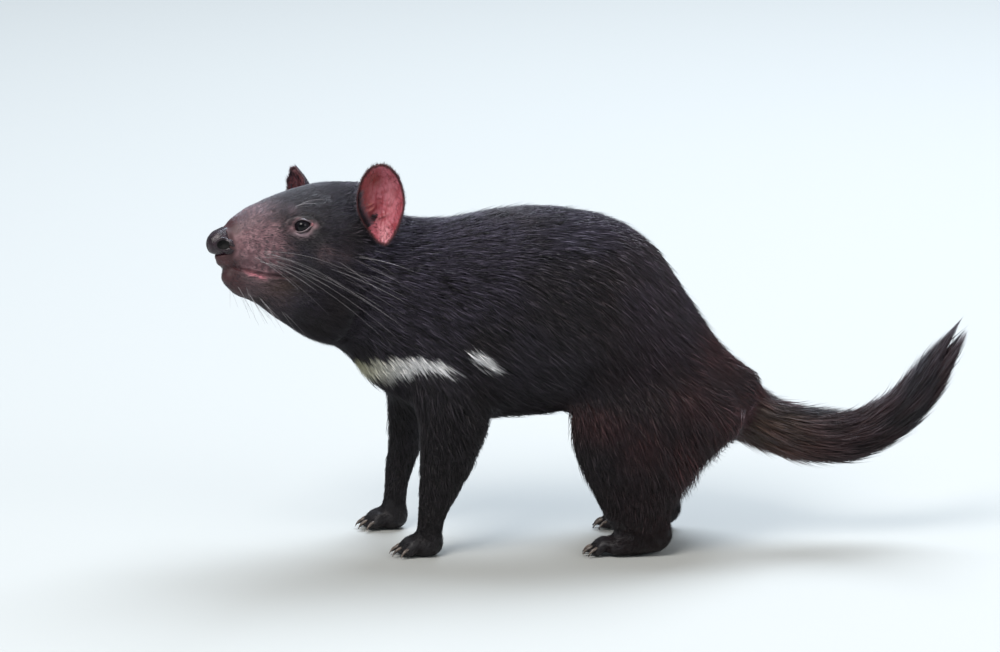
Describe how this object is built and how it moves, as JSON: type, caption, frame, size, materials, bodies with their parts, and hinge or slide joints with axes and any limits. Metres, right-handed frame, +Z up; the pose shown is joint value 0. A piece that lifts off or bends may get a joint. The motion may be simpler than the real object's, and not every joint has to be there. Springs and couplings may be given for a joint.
{
  "type": "tasmanian devil",
  "caption": "Standing Tasmanian devil, head raised and turned to its left, stocky black-furred body, pink ear cups, bushy tapering tail held low with its tip curved up.",
  "frame": {"origin": "middle of the bounding box, at the floor under the paws", "axes": "+Z up, -X the way the animal faces, -Y its left side"},
  "size_m": [0.7276, 0.1706, 0.3854],
  "materials": {
    "coat": "coarse black fur with a bluish sheen, red-brown on the rump and cream on the chest",
    "nose": "moist dark nose leather",
    "ear": "thin bare pink skin, dark and thinly furred outside",
    "eye": "wet dark brown eye",
    "tail_coat": "long coarse dark red-brown fur in locks"
  },
  "bodies": {
    "root": {"torso": "coat", "neck": "coat", "head": "coat", "lower_jaw": "coat", "nose_pad": "nose", "ear_left": "ear", "ear_right": "ear", "eye_left": "eye", "eye_right": "eye", "front_leg_left": "coat", "front_leg_right": "coat", "front_paw_left": "coat", "front_paw_right": "coat", "hind_leg_left": "coat", "hind_leg_right": "coat", "hind_foot_left": "coat", "hind_foot_right": "coat", "tail": "tail_coat"}
  },
  "joints": []
}
